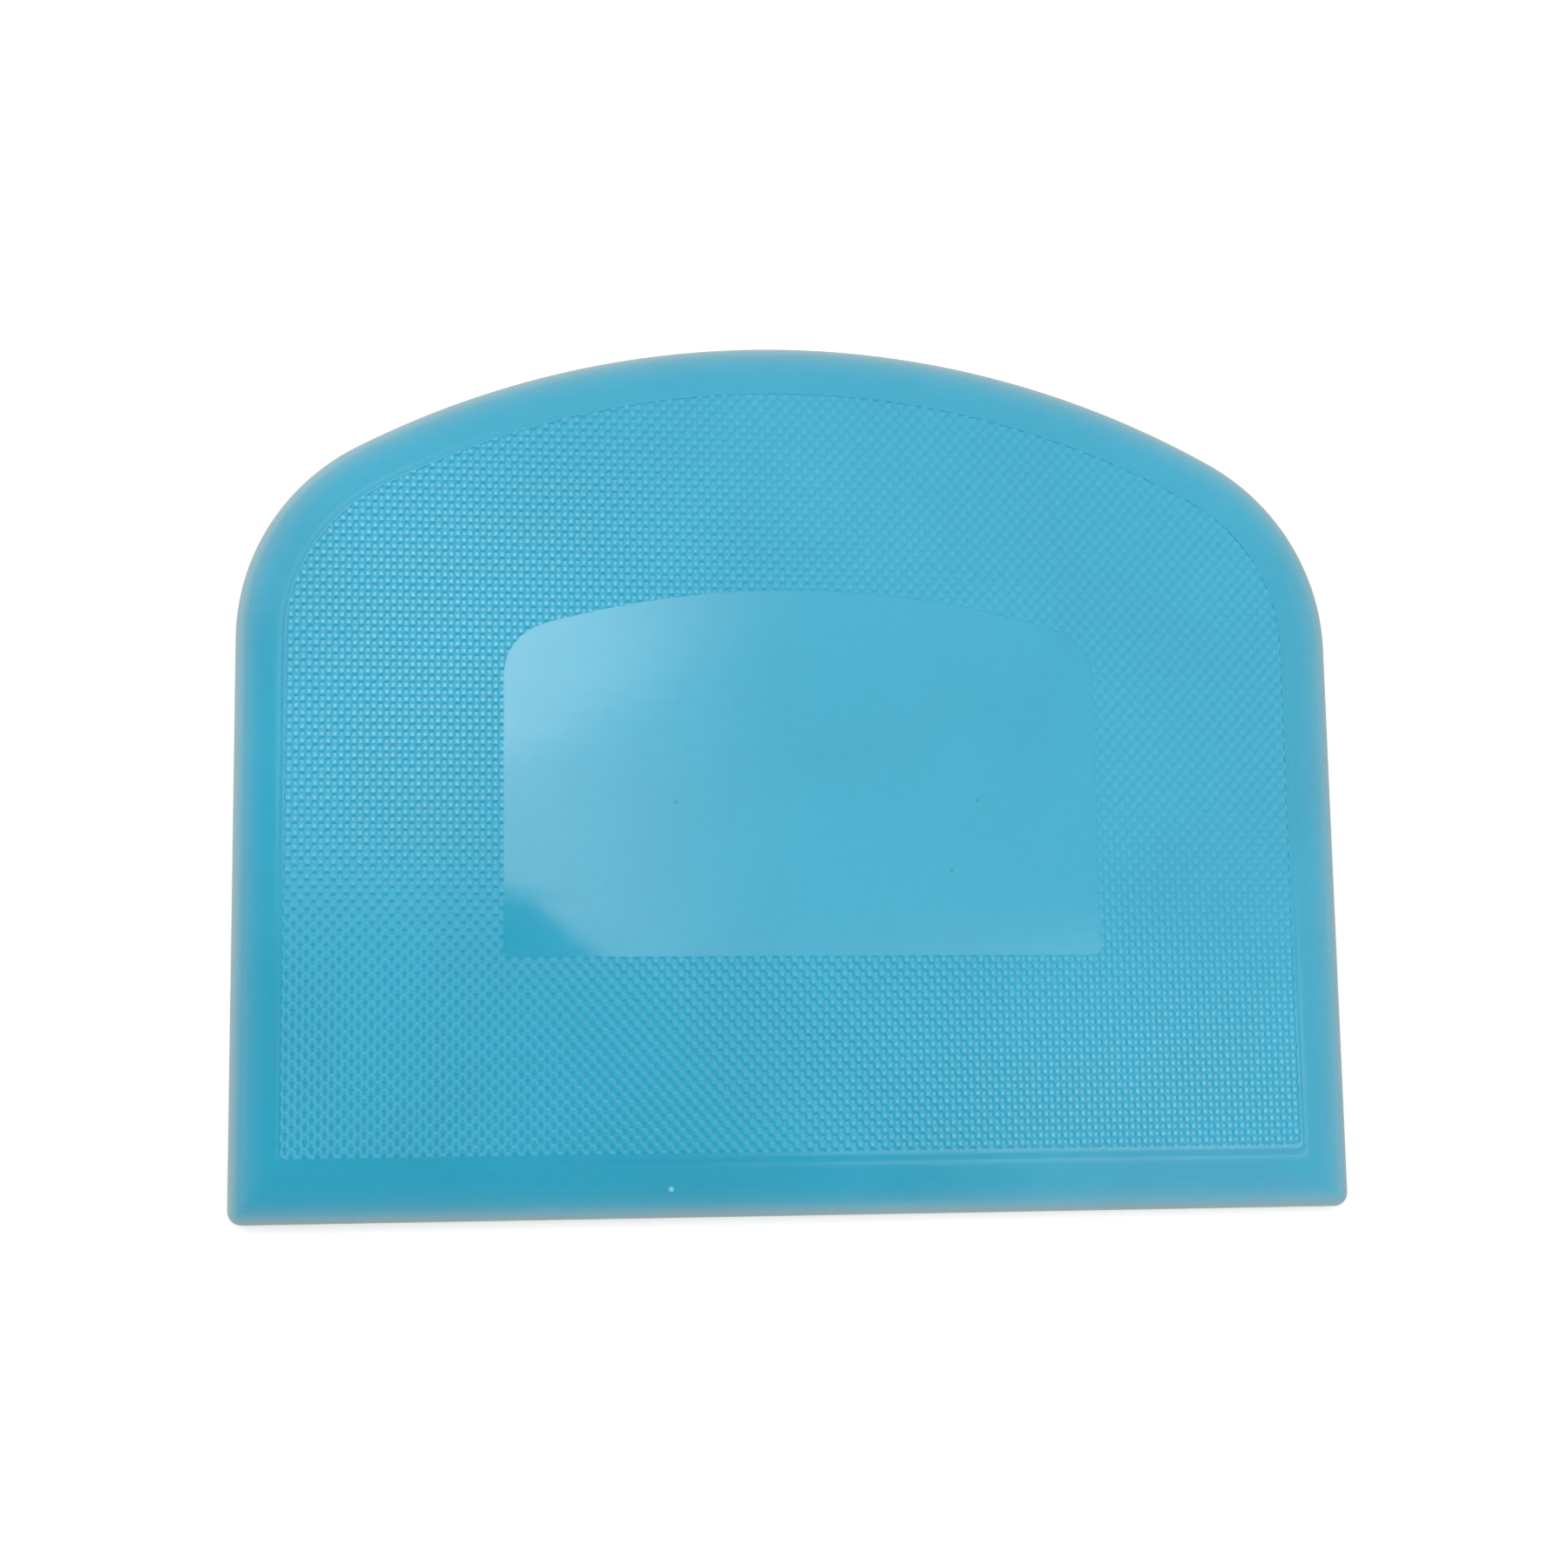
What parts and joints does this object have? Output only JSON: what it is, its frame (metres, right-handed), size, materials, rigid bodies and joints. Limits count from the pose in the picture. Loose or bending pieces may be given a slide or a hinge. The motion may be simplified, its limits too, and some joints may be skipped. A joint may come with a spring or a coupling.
{
  "type": "dough scraper",
  "caption": "Thin flat plastic dough scraper with a straight base, arched top, smooth bevelled rim, knurled grip panel and a smooth window, for cutting dough and cleaning bowls.",
  "frame": {"origin": "on the surface that the blade lies on, under the middle of its outline", "axes": "+X along the straight scraping edge, +Y from the straight edge towards the arched top, +Z through the thickness, out of the front face"},
  "size_m": [0.12, 0.095, 0.0022],
  "materials": {
    "satin_border": "smooth satin light-blue plastic, slightly translucent where it thins to the lip",
    "knurled_grip": "light-blue plastic with a fine raised diamond knurl",
    "polished_window": "polished light-blue plastic with faint wiping marks"
  },
  "bodies": {
    "root": {"scraping_rim": "satin_border", "grip_panel": "knurled_grip", "smooth_window": "polished_window"}
  },
  "joints": []
}
